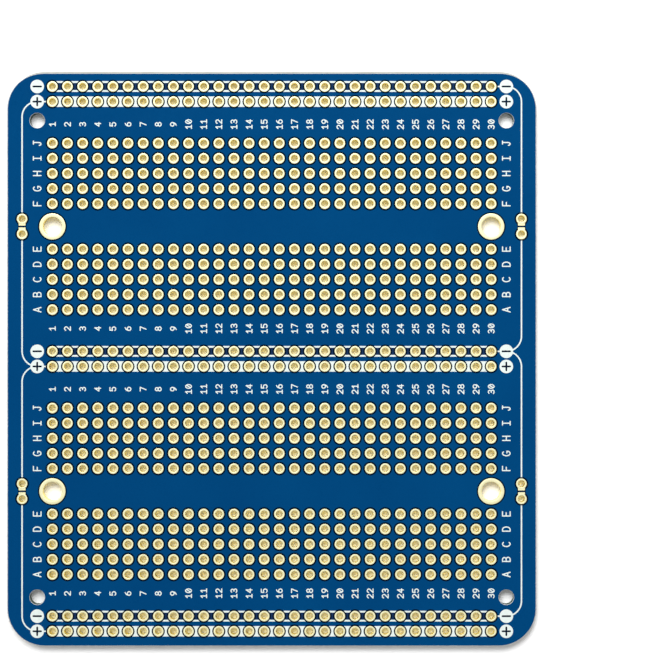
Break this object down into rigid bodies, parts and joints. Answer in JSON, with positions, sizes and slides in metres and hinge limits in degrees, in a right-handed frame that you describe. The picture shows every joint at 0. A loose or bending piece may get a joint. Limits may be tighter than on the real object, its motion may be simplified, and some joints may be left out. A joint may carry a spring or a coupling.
{
  "type": "solderable breadboard",
  "caption": "Bare solderable prototyping board with breadboard-style fields of plated lead holes, paired power rails, edge solder jumpers and mounting holes.",
  "frame": {"origin": "under the middle of the board, in the plane of its back face", "axes": "+Z out of the printed face, +Y along the longer side towards the rail pair printed with minus outermost at the top, +X along the hole columns from number 1 to number 30"},
  "size_m": [0.0888, 0.0966, 0.0016],
  "materials": {
    "laminate": "glass-epoxy laminate under a blue gloss solder mask",
    "copper": "copper foil with an immersion-gold finish where it is bare",
    "plating": "immersion gold over copper, satin",
    "ink": "white screen-printed epoxy ink, matt"
  },
  "bodies": {
    "root": {"laminate_upper": "laminate", "laminate_lower": "laminate", "net_minus_top": "copper", "net_plus_top": "copper", "net_minus_middle": "copper", "net_plus_middle": "copper", "net_minus_bottom": "copper", "net_plus_bottom": "copper", "plated_hole_upper_left": "plating", "plated_hole_upper_right": "plating", "plated_hole_lower_left": "plating", "plated_hole_lower_right": "plating", "mark_minus_top_left": "ink", "mark_minus_top_right": "ink", "mark_plus_top_left": "ink", "mark_plus_top_right": "ink", "mark_minus_middle_left": "ink", "mark_minus_middle_right": "ink", "mark_plus_middle_left": "ink", "mark_plus_middle_right": "ink", "mark_minus_bottom_left": "ink", "mark_minus_bottom_right": "ink", "mark_plus_bottom_left": "ink", "mark_plus_bottom_right": "ink"}
  },
  "joints": []
}
